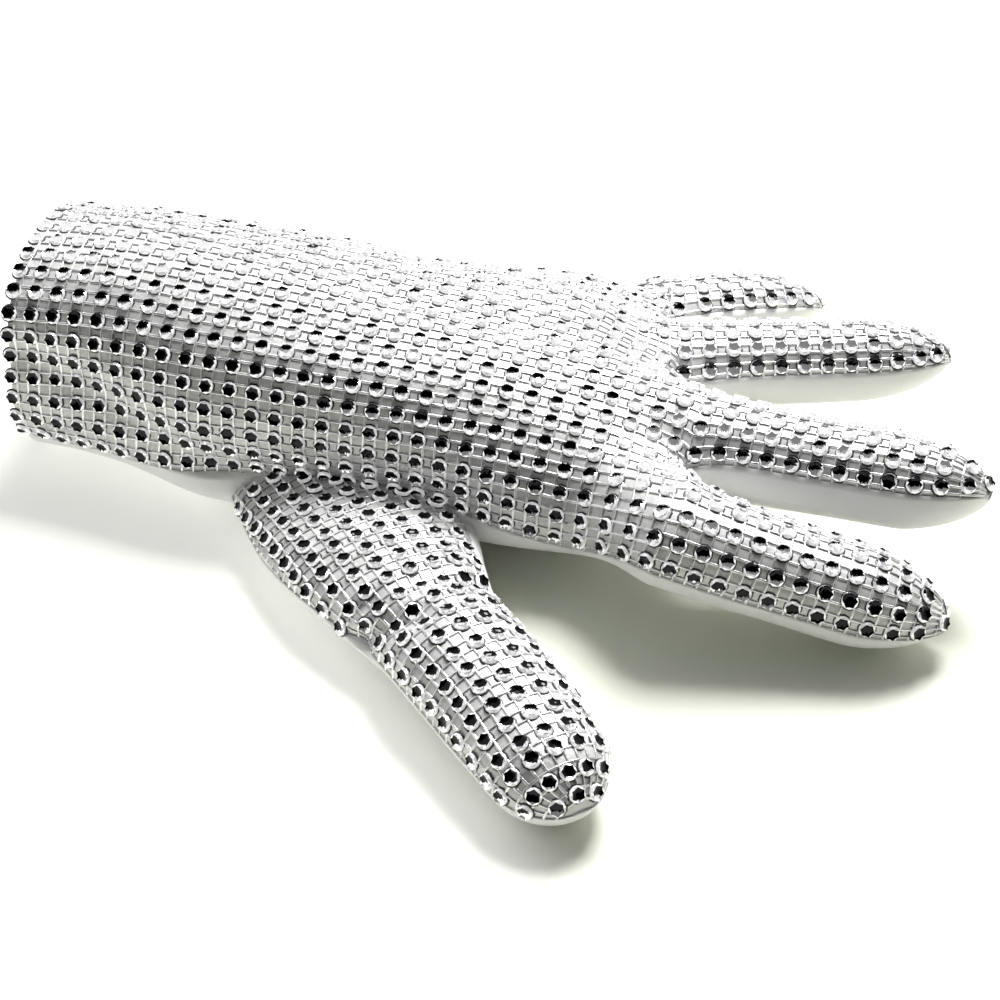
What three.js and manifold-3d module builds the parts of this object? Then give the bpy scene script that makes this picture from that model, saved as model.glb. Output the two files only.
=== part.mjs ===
// Left-hand dress glove with a stone-set net over white satin, lying palm down.
// Millimetres, +Z up. +X runs from the cuff to the fingertips and +Y to the little finger's side.
import * as THREE from 'three';
import Module from 'manifold-3d';

const wasm = await Module();
wasm.setup();

// Driving sizes
const GRID = 5.0;
const NET_ROWS = 23;
const NET_OUTER = -0.2;
const NET_INNER = -1.1;
const BACK_OUTER = -1.5;
const BACK_INNER = -2.7;
const PALM_OUTER = 0;
const PALM_INNER = -1.3;
const SEAM_GAP = 0.22;
const CUT_GAP = 0.35;
const FLOOR = 0;
const WEB_BLEND = 24;
const CROWN_POWER = 2.3;
const PALM_POWER = 2.8;
const FINGER_TIP = { length: 18, power: 1.5 };
const THUMB_TIP = { length: 13, power: 2.2 };
const TIP_SEAM = 0.28;
const FINGER_TAPER = 0.1;
const CENTRE_X = 100.9;
const CENTRE_Y = -17.8;

// Cross sections of the hand. near and far are the two sides, hem is the height of the net's
// near and far edge above base, slant moves the far edge along X.
const HAND_COLUMNS = ['x', 'near', 'far', 'base', 'waist', 'crown', 'hem', 'slant'];
const HAND_SECTIONS = [
  [0, -24.3, 26.5, -0.7, 28, 48.6, 10.8, -2.3],
  [20, -26, 29.8, -0.6, 24, 49.6, 12.2, -3],
  [45, -31.2, 35.4, -0.4, 15, 48.2, 14, 0.6],
  [75, -31.7, 37.4, 0.4, 12, 45, 14.4, 1.5],
  [105, -32.3, 47, 2.8, 13.2, 40, 11.6, 2.6],
  [137, -30, 56, 5.3, 13.3, 32.2, 4, 3.9],
];

// Fingers. x, y, z is the root, yaw turns to +Y, rise and tipRise are the slope at root and tip,
// roll and span place the net round the finger, first and last count its rows of the net.
const FINGER_COLUMNS = ['first', 'last', 'x', 'y', 'z', 'yaw', 'rise', 'tipRise', 'length',
  'width', 'height', 'roll', 'span'];
const FINGERS = {
  index: [0, 6, 143.2, -32.3, 21, 3.8, -15.5, -11, 57.6, 11.5, 10.3, 13, 170],
  middle: [6, 12, 134.2, -2, 23.2, -5, -3.3, 7, 70.1, 10.6, 10.5, -5, 147],
  ring: [12, 18, 130.8, 21.7, 22.9, 17.2, -0.5, 1.5, 62.4, 9.7, 9.3, -3.5, 151],
  little: [18, 23, 117.8, 40.8, 20.6, 28.6, -0.9, -9.7, 47.5, 8.6, 8.2, -16, 150],
};
const FINGER_NAMES = ['index', 'middle', 'ring', 'little'];
const WEB_X = [144, 134.5, 128.5];

// The thumb's centre line with its half width, half height and the two edges of its net.
const THUMB_COLUMNS = ['x', 'y', 'z', 'width', 'height', 'left', 'right'];
const THUMB_SECTIONS = [
  [52, -6, 7.8, 14, 6.6, 176, 34],
  [61, -15, 8, 17.5, 7, 176, 34],
  [70, -24, 8.4, 20, 7.6, 177, 33],
  [78.5, -32.5, 9, 21.5, 8.4, 178, 32],
  [87, -41.5, 9.5, 20.5, 8.8, 180, 30],
  [96, -52, 10, 16.9, 9.2, 182, 24],
  [106.7, -63.1, 10.4, 13.6, 9.5, 184, 10],
  [120, -75.4, 10.1, 13.4, 9.5, 186, 2],
  [132, -87.8, 9.2, 12.1, 9, 186, 2],
  [142, -98.3, 8.3, 10.6, 8.2, 186, 2],
];

// Folds: valleys (depth above 0) and swells (below 0) along a line on a panel, in the columns
// s0, t0, s1, t1, width and depth, with s in millimetres from the cuff or the thumb's root and
// t in rows of the net.
const BACK_FOLDS = [
  [4, 4.6, 46, 0.6, 5, 1.8],
  [0, 1.6, 26, 0.6, 9, -1.2],
  [58, -0.5, 92, -0.5, 12, 5],
  [52, 5.8, 80, 5.6, 8, -0.8],
  [30, 8.5, 88, 8, 8, 0.5],
  [70, 11, 112, 10.5, 5, 0.8],
  [18, 14, 60, 13, 10, 0.8],
  [84, 13.5, 122, 12, 8, 0.8],
];
const PALM_FOLDS = [
  [58, -0.5, 92, -0.5, 12, 5],
  [6, 3, 40, 6, 5, 0.9],
  [60, 14, 110, 15, 8, 0.9],
  [96, 6, 118, 14, 7, 1.2],
];
const THUMB_FOLDS = [
  [71, 0.2, 78, 2.8, 2.8, 2.2],
  [64, 0.4, 69, 2.2, 2.6, 0.9],
  [70, 3.6, 73, 6.6, 2.6, 1.4],
  [84, 1.6, 85, 4.6, 4.5, -0.7],
];

const COLOURS = { satin: 0xf1f1ee, net: 0xb9bbbd };

const radians = THREE.MathUtils.degToRad;

function column(columns, rows, name) {
  const k = columns.indexOf(name);
  return rows.map((row) => row[k]);
}

// Piecewise cubic through the table's points without overshoot.
function curve(xs, ys) {
  const n = xs.length;
  const step = [];
  const slope = [];
  for (let k = 0; k < n - 1; k += 1) {
    step.push(xs[k + 1] - xs[k]);
    slope.push((ys[k + 1] - ys[k]) / step[k]);
  }
  const tangent = new Array(n).fill(0);
  for (let k = 1; k < n - 1; k += 1) {
    if (slope[k - 1] * slope[k] > 0) {
      const a = 2 * step[k] + step[k - 1];
      const b = step[k] + 2 * step[k - 1];
      tangent[k] = (a + b) / (a / slope[k - 1] + b / slope[k]);
    }
  }
  tangent[0] = slope[0];
  tangent[n - 1] = slope[n - 2];
  return (x) => {
    let k = 0;
    while (k < n - 2 && x > xs[k + 1]) {
      k += 1;
    }
    const h = step[k];
    const u = (x - xs[k]) / h;
    const v = 1 - u;
    if (u < 0) {
      return ys[0] + tangent[0] * (x - xs[0]);
    }
    if (u > 1) {
      return ys[n - 1] + tangent[n - 1] * (x - xs[n - 1]);
    }
    return v * v * (1 + 2 * u) * ys[k] + u * u * (1 + 2 * v) * ys[k + 1]
      + h * u * v * (v * tangent[k] - u * tangent[k + 1]);
  };
}

function curves(columns, rows, xs) {
  const result = {};
  for (const name of columns) {
    result[name] = curve(xs, column(columns, rows, name));
  }
  return result;
}

function smooth(x, a, b) {
  const t = Math.min(1, Math.max(0, (x - a) / (b - a)));
  return t * t * (3 - 2 * t);
}

const power = (value, exponent) => Math.sign(value) * Math.abs(value) ** exponent;

const hand = curves(HAND_COLUMNS, HAND_SECTIONS, column(HAND_COLUMNS, HAND_SECTIONS, 'x'));
const ARC_STEPS = 60;

// One half of the hand's section at x as a list of points with equal steps of angle,
// from the near hem to the far hem, over the back or under the palm.
function sectionArc(x, upper) {
  const at = Math.min(x, 150);
  const near = hand.near(at);
  const far = hand.far(at);
  const base = hand.base(at);
  const waist = hand.waist(at);
  const crown = hand.crown(at);
  const height = base + hand.hem(at);
  const middle = (near + far) / 2;
  const half = (far - near) / 2;
  let dip = 0;
  if (height <= waist) {
    dip = Math.asin(Math.min(1, (waist - height) / (waist - base)) ** (PALM_POWER / 2));
  } else {
    dip = -Math.asin(Math.min(1, (height - waist) / (crown - waist)) ** (CROWN_POWER / 2));
  }
  const from = Math.PI + dip;
  const to = upper ? -dip : 2 * Math.PI - dip;
  const points = [];
  const lengths = [0];
  for (let k = 0; k <= ARC_STEPS; k += 1) {
    const angle = from + ((to - from) * k) / ARC_STEPS;
    const c = Math.cos(angle);
    const s = Math.sin(angle);
    const exponent = 2 / (s >= 0 ? CROWN_POWER : PALM_POWER);
    const y = middle + half * power(c, exponent);
    const z = waist + (s >= 0 ? crown - waist : waist - base) * power(s, exponent);
    points.push([y, z]);
    if (k > 0) {
      lengths.push(lengths[k - 1] + Math.hypot(y - points[k - 1][0], z - points[k - 1][1]));
    }
  }
  return { points, lengths };
}

const arcs = new Map();

function handPoint(x, t, upper) {
  const key = `${x.toFixed(4)} ${upper}`;
  if (!arcs.has(key)) {
    arcs.set(key, sectionArc(x, upper));
  }
  const { points, lengths } = arcs.get(key);
  const target = t * lengths[ARC_STEPS];
  let k = 0;
  while (k < ARC_STEPS - 1 && lengths[k + 1] < target) {
    k += 1;
  }
  const u = (target - lengths[k]) / (lengths[k + 1] - lengths[k]);
  const y = points[k][0] + (points[k + 1][0] - points[k][0]) * u;
  const z = points[k][1] + (points[k + 1][1] - points[k][1]) * u;
  return new THREE.Vector3(x + hand.slant(Math.min(x, 150)) * t, y, z);
}

const fingers = FINGER_NAMES.map((name) => {
  const finger = { name };
  FINGER_COLUMNS.forEach((key, k) => {
    finger[key] = FINGERS[name][k];
  });
  return finger;
});

// Centre line of a finger at distance d from its root: an arc that starts at rise and
// ends at tipRise, with the sideways and upward directions across it.
function fingerLine(finger, d) {
  const yaw = radians(finger.yaw);
  const rise = radians(finger.rise);
  const bend = (radians(finger.tipRise) - rise) / finger.length;
  let pitch = rise;
  let run = d * Math.cos(rise);
  let climb = d * Math.sin(rise);
  if (d > 0) {
    pitch = rise + bend * d;
    run = (Math.sin(pitch) - Math.sin(rise)) / bend;
    climb = -(Math.cos(pitch) - Math.cos(rise)) / bend;
  }
  const centre = new THREE.Vector3(
    finger.x + run * Math.cos(yaw),
    finger.y + run * Math.sin(yaw),
    finger.z + climb,
  );
  const along = new THREE.Vector3(
    Math.cos(pitch) * Math.cos(yaw),
    Math.cos(pitch) * Math.sin(yaw),
    Math.sin(pitch),
  );
  const side = new THREE.Vector3(-Math.sin(yaw), Math.cos(yaw), 0);
  const up = new THREE.Vector3().crossVectors(along, side);
  return { centre, side, up };
}

function capShape(d, length, tip) {
  const e = Math.min(1, Math.max(0, (d - (length - tip.length)) / tip.length)) ** tip.power;
  return {
    wide: Math.sqrt(1 - (1 - TIP_SEAM * TIP_SEAM) * e),
    high: Math.sqrt(1 - e),
    flat: e ** 3,
  };
}

// A point of a tube's section. At the tip both halves close on one straight seam.
function ringPoint(centre, side, up, size, from, to, tau, upper, cap) {
  const angle = upper ? from + (to - from) * tau : from + (to + 2 * Math.PI - from) * tau;
  const seam = Math.cos(from) + (Math.cos(to) - Math.cos(from)) * tau;
  const across = Math.cos(angle) + (seam - Math.cos(angle)) * cap.flat;
  return centre
    .addScaledVector(side, size.width * cap.wide * across)
    .addScaledVector(up, size.height * cap.high * Math.sin(angle));
}

function fingerPoint(finger, d, tau, upper) {
  const { centre, side, up } = fingerLine(finger, d);
  const cap = capShape(d, finger.length, FINGER_TIP);
  const taper = 1 - FINGER_TAPER * Math.min(1, Math.max(0, d / finger.length));
  const from = radians(90 + finger.span / 2 + finger.roll);
  const to = radians(90 - finger.span / 2 + finger.roll);
  const size = { width: finger.width * taper, height: finger.height * taper };
  return ringPoint(centre, side, up, size, from, to, tau, upper, cap);
}

// A point of the glove without the thumb: s from the cuff, tau across one finger's strip.
function stripPoint(k, s, tau, upper) {
  const finger = fingers[k];
  const left = k > 0 ? WEB_X[k - 1] : WEB_X[0];
  const right = k < 3 ? WEB_X[k] : WEB_X[2];
  const web = left + (right - left) * tau;
  const d = Math.min(s - finger.x, finger.length);
  const onFinger = fingerPoint(finger, d, tau, upper);
  const row = finger.first + (finger.last - finger.first) * tau;
  const onHand = handPoint(s, row / NET_ROWS, upper);
  // The net dips softly along the middle of a strip and rounds off steeply at a web.
  const soft = smooth(s, web - WEB_BLEND, web);
  const q = Math.min(1, Math.max(0, 1 - (web - s) / WEB_BLEND));
  const round = 1 - Math.sqrt(1 - q * q);
  const edge = Math.max(k > 0 ? (1 - tau) ** 3 : 0, k < 3 ? tau ** 3 : 0);
  return onHand.lerp(onFinger, soft + (round - soft) * edge);
}

// The same point with the strip's two edges drawn to its neighbours' edges up to the web.
function glovePoint(k, s, tau, upper) {
  const point = stripPoint(k, s, tau, upper);
  const pull = new THREE.Vector3();
  for (const [edge, other] of [[1, k + 1], [0, k - 1]]) {
    if (other >= 0 && other < 4) {
      const mine = stripPoint(k, s, edge, upper);
      const theirs = stripPoint(other, s, 1 - edge, upper);
      const web = WEB_X[Math.min(k, other)];
      const weight = (edge ? tau : 1 - tau) ** 3 * Math.exp(-Math.max(0, s - web) / 5);
      pull.copy(theirs).sub(mine);
      point.addScaledVector(pull, weight / 2);
    }
  }
  return point;
}

const thumbRows = THUMB_SECTIONS.map((row) => new THREE.Vector3(row[0], row[1], row[2]));
const thumbMarks = [0];
for (let k = 1; k < thumbRows.length; k += 1) {
  thumbMarks.push(thumbMarks[k - 1] + thumbRows[k].distanceTo(thumbRows[k - 1]));
}
const THUMB_LENGTH = thumbMarks[thumbMarks.length - 1];
const thumb = curves(THUMB_COLUMNS, THUMB_SECTIONS, thumbMarks);

function thumbPoint(s, tau, upper) {
  const centre = new THREE.Vector3(thumb.x(s), thumb.y(s), thumb.z(s));
  const ahead = Math.min(s + 0.5, THUMB_LENGTH);
  const behind = ahead - 1;
  const along = new THREE.Vector3(
    thumb.x(ahead) - thumb.x(behind),
    thumb.y(ahead) - thumb.y(behind),
    thumb.z(ahead) - thumb.z(behind),
  ).normalize();
  const side = new THREE.Vector3(-along.y, along.x, 0).normalize();
  const up = new THREE.Vector3().crossVectors(along, side);
  const cap = capShape(s, THUMB_LENGTH, THUMB_TIP);
  const from = radians(thumb.left(s));
  const to = radians(thumb.right(s));
  const size = { width: thumb.width(s), height: thumb.height(s) };
  return ringPoint(centre, side, up, size, from, to, tau, upper, cap);
}

function foldDepth(folds, s, row) {
  let depth = 0;
  for (const fold of folds) {
    const [s0, t0, s1, t1, width, amount] = fold;
    const ax = s1 - s0;
    const ay = (t1 - t0) * GRID;
    const bx = s - s0;
    const by = (row - t0) * GRID;
    const u = Math.min(1, Math.max(0, (ax * bx + ay * by) / (ax * ax + ay * ay)));
    const away = Math.hypot(bx - ax * u, by - ay * u) / width;
    depth += amount * Math.exp(-away * away);
  }
  return depth;
}

// A closed skin split into named panels. Points that coincide are shared, so all panels have
// the same normal along their seams.
class Skin {
  constructor() {
    this.points = [];
    this.sink = [];
    this.lookup = new Map();
    this.panels = {};
  }

  add(point, sink) {
    const key = [point.x, point.y, point.z].map((v) => v.toFixed(4)).join(' ');
    if (!this.lookup.has(key)) {
      this.lookup.set(key, this.points.length);
      this.points.push(point.clone());
      this.sink.push(sink);
    }
    return this.lookup.get(key);
  }

  face(panel, a, b, c) {
    if (a !== b && b !== c && c !== a) {
      this.panels[panel] = this.panels[panel] || [];
      this.panels[panel].push([a, b, c]);
    }
  }

  // Quads of a grid of point numbers, seen from outside when flip is false.
  grid(panel, rows, flip) {
    for (let i = 0; i < rows.length - 1; i += 1) {
      for (let j = 0; j < rows[i].length - 1; j += 1) {
        const a = rows[i][j];
        const b = rows[i + 1][j];
        const c = rows[i + 1][j + 1];
        const d = rows[i][j + 1];
        if (flip) {
          this.face(panel, a, c, b);
          this.face(panel, a, d, c);
        } else {
          this.face(panel, a, b, c);
          this.face(panel, a, c, d);
        }
      }
    }
  }

  normals() {
    const normals = this.points.map(() => new THREE.Vector3());
    const ab = new THREE.Vector3();
    const ac = new THREE.Vector3();
    for (const faces of Object.values(this.panels)) {
      for (const [a, b, c] of faces) {
        ab.subVectors(this.points[b], this.points[a]);
        ac.subVectors(this.points[c], this.points[a]);
        ab.cross(ac);
        normals[a].add(ab);
        normals[b].add(ab);
        normals[c].add(ab);
      }
    }
    return normals.map((v) => v.normalize());
  }

  press() {
    const normals = this.normals();
    this.points.forEach((point, k) => point.addScaledVector(normals[k], -this.sink[k]));
    this.normal = this.normals();
  }

  boundary(faces) {
    const edges = new Map();
    for (const face of faces) {
      for (let k = 0; k < 3; k += 1) {
        const a = face[k];
        const b = face[(k + 1) % 3];
        if (edges.has(`${b} ${a}`)) {
          edges.delete(`${b} ${a}`);
        } else {
          edges.set(`${a} ${b}`, [a, b]);
        }
      }
    }
    return [...edges.values()];
  }

  // Points on a seam move into their own panel by the seam gap.
  seamShift(panel) {
    const faces = this.panels[panel];
    const open = this.boundary(Object.values(this.panels).flat());
    const rim = new Set(open.flat());
    const edge = new Set(this.boundary(faces).flat());
    const inward = new Map();
    for (const face of faces) {
      for (let k = 0; k < 3; k += 1) {
        const a = face[k];
        if (edge.has(a)) {
          const centre = new THREE.Vector3();
          face.forEach((v) => centre.addScaledVector(this.points[v], 1 / 3));
          centre.sub(this.points[a]);
          if (!inward.has(a)) {
            inward.set(a, new THREE.Vector3());
          }
          inward.get(a).add(centre.normalize());
        }
      }
    }
    for (const [a, shift] of inward) {
      shift.addScaledVector(this.normal[a], -shift.dot(this.normal[a]));
      if (rim.has(a)) {
        shift.x = 0;
      }
      shift.normalize().multiplyScalar(SEAM_GAP);
    }
    return inward;
  }

  // A shell of one panel between two offsets along the normals, closed round its edge.
  shell(panel, outer, inner) {
    const faces = this.panels[panel];
    const shift = this.seamShift(panel);
    const used = [...new Set(faces.flat())];
    const slot = new Map(used.map((v, k) => [v, k]));
    const count = used.length;
    const vertices = [];
    for (const [offset, lift] of [[outer, 0], [inner, outer - inner]]) {
      for (const v of used) {
        const p = this.points[v].clone().addScaledVector(this.normal[v], offset);
        if (shift.has(v)) {
          p.add(shift.get(v));
        }
        p.z = Math.max(p.z, FLOOR + lift);
        vertices.push(p);
      }
    }
    const triangles = [];
    for (const [a, b, c] of faces) {
      triangles.push([slot.get(a), slot.get(b), slot.get(c)]);
      triangles.push([slot.get(a) + count, slot.get(c) + count, slot.get(b) + count]);
    }
    for (const [a, b] of this.boundary(faces)) {
      triangles.push([slot.get(b), slot.get(a), slot.get(a) + count]);
      triangles.push([slot.get(b), slot.get(a) + count, slot.get(b) + count]);
    }
    return solid(vertices, triangles);
  }

  // The space inside the whole skin at one offset, closed by a fan over its open rim.
  envelope(offset) {
    const faces = Object.values(this.panels).flat();
    const vertices = this.points.map((p, k) => {
      const q = p.clone().addScaledVector(this.normal[k], offset);
      q.z = Math.max(q.z, FLOOR - 1);
      return q;
    });
    const rim = this.boundary(faces);
    const centre = new THREE.Vector3();
    rim.forEach(([a]) => centre.addScaledVector(vertices[a], 1 / rim.length));
    const middle = vertices.length;
    vertices.push(centre);
    const triangles = faces.map((face) => [...face]);
    rim.forEach(([a, b]) => triangles.push([b, a, middle]));
    return solid(vertices, triangles);
  }
}

function solid(vertices, triangles) {
  const vertProperties = new Float32Array(vertices.length * 3);
  vertices.forEach((v, k) => vertProperties.set([v.x, v.y, v.z], k * 3));
  const triVerts = new Uint32Array(triangles.flat());
  return new wasm.Manifold(new wasm.Mesh({ numProp: 3, vertProperties, triVerts }));
}

function range(from, to, count) {
  return Array.from({ length: count + 1 }, (_, k) => from + ((to - from) * k) / count);
}

// Stations along the glove: common ones up to the last web, then each finger's own.
const COMMON = [0, 9, 18, 28, 38, 47, 56, 65, 75, 85, 94, 103, 111, 118, 123, 127.5, 131.5,
  135, 139.5, 144];
const FINGER_TIP_STATIONS = [-18, -12.5, -8, -4.2, -1.5, 0];
const THUMB_TIP_STATIONS = [-13, -8.5, -5, -2.4, -0.8, 0];
const STRIP_STEPS = 6;
const THUMB_STEPS = 8;

function buildGlove() {
  const skin = new Skin();
  fingers.forEach((finger, k) => {
    const end = finger.x + finger.length;
    const shaft = end + FINGER_TIP_STATIONS[0];
    const own = range(COMMON[COMMON.length - 1], shaft, Math.ceil((shaft - 144) / 10)).slice(1);
    const stations = [...COMMON, ...own, ...FINGER_TIP_STATIONS.slice(1).map((d) => end + d)];
    for (const [panel, upper] of [['back', true], ['palm', false]]) {
      const folds = upper ? BACK_FOLDS : PALM_FOLDS;
      const rows = stations.map((s) => range(0, 1, STRIP_STEPS).map((tau) => {
        const row = finger.first + (finger.last - finger.first) * tau;
        return skin.add(glovePoint(k, s, tau, upper), foldDepth(folds, s, row));
      }));
      skin.grid(panel, rows, !upper);
    }
  });
  skin.press();
  return skin;
}

function buildThumb() {
  const skin = new Skin();
  const shaft = THUMB_LENGTH + THUMB_TIP_STATIONS[0];
  const stations = [...range(0, 60, 6), ...range(60, 88, 9).slice(1), ...range(88, shaft, 3).slice(1),
    ...THUMB_TIP_STATIONS.slice(1).map((d) => THUMB_LENGTH + d)];
  for (const [panel, upper] of [['back', true], ['palm', false]]) {
    const rows = stations.map((s) => range(0, 1, THUMB_STEPS).map((tau) => {
      const fold = upper ? foldDepth(THUMB_FOLDS, s, tau * 7) : 0;
      return skin.add(thumbPoint(s, tau, upper), fold);
    }));
    skin.grid(panel, rows, !upper);
  }
  skin.press();
  return skin;
}

const glove = buildGlove();
const digit = buildThumb();
const handSpace = glove.envelope(CUT_GAP);
const thumbSpace = digit.envelope(CUT_GAP);

const pieces = {
  palm_panel: [glove.shell('palm', PALM_OUTER, PALM_INNER).subtract(thumbSpace), 'satin'],
  back_panel: [glove.shell('back', BACK_OUTER, BACK_INNER).subtract(thumbSpace), 'satin'],
  sequin_mesh_back: [glove.shell('back', NET_OUTER, NET_INNER).subtract(thumbSpace), 'net'],
  thumb_palm: [digit.shell('palm', PALM_OUTER, PALM_INNER).subtract(handSpace), 'satin'],
  thumb_back: [digit.shell('back', BACK_OUTER, BACK_INNER).subtract(handSpace), 'satin'],
  sequin_mesh_thumb: [digit.shell('back', NET_OUTER, NET_INNER).subtract(handSpace), 'net'],
};

const satin = new THREE.MeshStandardMaterial({ color: COLOURS.satin, roughness: 0.55, metalness: 0 });
const net = new THREE.MeshStandardMaterial({ color: COLOURS.net, roughness: 0.3, metalness: 0.8 });
const materials = { satin, net };

const group = new THREE.Group();
for (const [name, [shape, material]] of Object.entries(pieces)) {
  const mesh = shape.getMesh();
  const geometry = new THREE.BufferGeometry();
  const positions = new Float32Array(mesh.numVert * 3);
  for (let k = 0; k < mesh.numVert; k += 1) {
    for (let axis = 0; axis < 3; axis += 1) {
      positions[k * 3 + axis] = mesh.vertProperties[k * mesh.numProp + axis];
    }
  }
  geometry.setAttribute('position', new THREE.BufferAttribute(positions, 3));
  geometry.setIndex(new THREE.BufferAttribute(new Uint32Array(mesh.triVerts), 1));
  geometry.computeVertexNormals();
  const item = new THREE.Mesh(geometry, materials[material]);
  item.name = name;
  group.add(item);
}
group.position.set(-CENTRE_X, -CENTRE_Y, 0);

export default group;
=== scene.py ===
"""Left-hand dress glove: a silver stone-set net over white satin, lying palm down on white."""

import math

import bpy
import numpy as np
from mathutils import Matrix, Vector
from mathutils.bvhtree import BVHTree


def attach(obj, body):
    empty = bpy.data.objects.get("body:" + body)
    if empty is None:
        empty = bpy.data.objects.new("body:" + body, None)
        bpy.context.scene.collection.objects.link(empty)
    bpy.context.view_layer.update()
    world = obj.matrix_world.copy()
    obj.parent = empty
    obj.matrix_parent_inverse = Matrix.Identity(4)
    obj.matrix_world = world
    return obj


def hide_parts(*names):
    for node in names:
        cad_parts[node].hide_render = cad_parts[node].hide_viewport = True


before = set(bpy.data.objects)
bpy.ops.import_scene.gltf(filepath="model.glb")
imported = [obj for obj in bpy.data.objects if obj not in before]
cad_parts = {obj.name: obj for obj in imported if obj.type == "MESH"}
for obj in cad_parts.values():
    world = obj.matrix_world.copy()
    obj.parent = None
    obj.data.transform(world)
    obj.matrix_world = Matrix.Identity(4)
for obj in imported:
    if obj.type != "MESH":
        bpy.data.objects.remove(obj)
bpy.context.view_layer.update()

# Sizes in millimetres, in the glove's own frame: X from the cuff, Y to the little finger, Z up.
CENTRE = np.array([100.9, -17.8, 0.0])
# Spacing of the stones and of the threads, rows across the hand, and the first stone from the cuff
GRID = 5.0
CELL = 2.5
NET_ROWS = 23
FIRST_STONE = 0.25
STONE_RADIUS = 1.66
# Outer and inner face of each layer, measured outwards from the glove's form
NET_OUTER = -0.25
NET_INNER = -1.1
BACK_OUTER = -1.4
BACK_INNER = -2.7
PALM_OUTER = 0.0
PALM_INNER = -1.3
# The least height of an outer face over the table
LEAST_HEIGHT = 0.02
# Stretch before a web in which the hand turns into fingers, and how fast a shared edge's pull fades
WEB_BLEND = 24.0
EDGE_FADE = 5.0
# Roundness of the hand's section above and below its waist
CROWN_POWER = 2.3
PALM_POWER = 2.8
# Length and roundness of a closed tip, the half width left at its seam, and the fingers' taper
FINGER_TIP = (18.0, 1.5)
THUMB_TIP = (13.0, 2.2)
TIP_SEAM = 0.28
FINGER_TAPER = 0.1
# Points are one point when they round to the same place at this fineness
PLACES_PER_MM = 2000
# Step of the finely divided skin, and the places round a finger's tip and the thumb's tip
STEP = 1.25
FINGER_CAP_STEPS = 17
THUMB_CAP_STEPS = 13
# Soft waves in the satin: depth and length
HAND_WAVES = (0.22, 34.0)
THUMB_WAVES = (0.15, 20.0)
# Width of the thumb's upper half laid flat, and the rows that its folds are placed by
THUMB_ACROSS = 40.0
THUMB_ROWS = 7
# Thumb faces deeper than this in the hand are left out
THUMB_SUNK = 2.0
# The thumb's hollow opens this share of its section through the palm
THUMB_HOLE = 0.93

# x, near side, far side, base, waist, crown, the hem's height over the base, slant of the sections
HAND = np.array([
    (0, -24.3, 26.5, -0.7, 28, 48.6, 10.8, -2.3),
    (20, -26, 29.8, -0.6, 24, 49.6, 12.2, -3),
    (45, -31.2, 35.4, -0.4, 15, 48.2, 14, 0.6),
    (75, -31.7, 37.4, 0.4, 12, 45, 14.4, 1.5),
    (105, -32.3, 47, 2.8, 13.2, 40, 11.6, 2.6),
    (137, -30, 56, 5.3, 13.3, 32.2, 4, 3.9),
], float)
# Net rows, root, directions in degrees, length, half width, half height, roll and the net's span
FINGER_COLUMNS = ("first", "last", "x", "y", "z", "yaw", "rise", "tip_rise", "length",
                  "width", "height", "roll", "span")
FINGER_ROWS = {
    "index": (0, 6, 143.2, -32.3, 21, 3.8, -15.5, -11, 57.6, 11.5, 10.3, 13, 170),
    "middle": (6, 12, 134.2, -2, 23.2, -5, -3.3, 7, 70.1, 10.6, 10.5, -5, 147),
    "ring": (12, 18, 130.8, 21.7, 22.9, 17.2, -0.5, 1.5, 62.4, 9.7, 9.3, -3.5, 151),
    "little": (18, 23, 117.8, 40.8, 20.6, 28.6, -0.9, -9.7, 47.5, 8.6, 8.2, -16, 150),
}
WEB_X = (144.0, 134.5, 128.5)
# x, y, z, half width, half height, and the angles of the left and right hem in degrees
THUMB = np.array([
    (52, -6, 7.8, 14, 6.6, 176, 34),
    (61, -15, 8, 17.5, 7, 176, 34),
    (70, -24, 8.4, 20, 7.6, 177, 33),
    (78.5, -32.5, 9, 21.5, 8.4, 178, 32),
    (87, -41.5, 9.5, 20.5, 8.8, 180, 30),
    (96, -52, 10, 16.9, 9.2, 182, 24),
    (106.7, -63.1, 10.4, 13.6, 9.5, 184, 10),
    (120, -75.4, 10.1, 13.4, 9.5, 186, 2),
    (132, -87.8, 9.2, 12.1, 9, 186, 2),
    (142, -98.3, 8.3, 10.6, 8.2, 186, 2),
], float)
# s0, t0, s1, t1, width, depth: valleys above 0, swells below 0
BACK_FOLDS = (
    (4, 4.6, 46, 0.6, 5, 1.8),
    (0, 1.6, 26, 0.6, 9, -1.2),
    (58, -0.5, 92, -0.5, 12, 5),
    (52, 5.8, 80, 5.6, 8, -0.8),
    (30, 8.5, 88, 8, 8, 0.5),
    (70, 11, 112, 10.5, 5, 0.8),
    (18, 14, 60, 13, 10, 0.8),
    (84, 13.5, 122, 12, 8, 0.8),
)
PALM_FOLDS = (
    (58, -0.5, 92, -0.5, 12, 5),
    (6, 3, 40, 6, 5, 0.9),
    (60, 14, 110, 15, 8, 0.9),
    (96, 6, 118, 14, 7, 1.2),
)
THUMB_FOLDS = (
    (71, 0.2, 78, 2.8, 2.8, 2.2),
    (64, 0.4, 69, 2.2, 2.6, 0.9),
    (70, 3.6, 73, 6.6, 2.6, 1.4),
    (84, 1.6, 85, 4.6, 4.5, -0.7),
)
# The photo's camera: angles in degrees, place in millimetres, and focal length and rise in
# thousandths of the picture's width
CAMERA = {"turn": 15.3, "down": 38.5, "side": 96.8, "back": 411.2, "height": 300.9,
          "focal": 2241.6, "rise": 3.0}

rng = np.random.default_rng(7)


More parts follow.
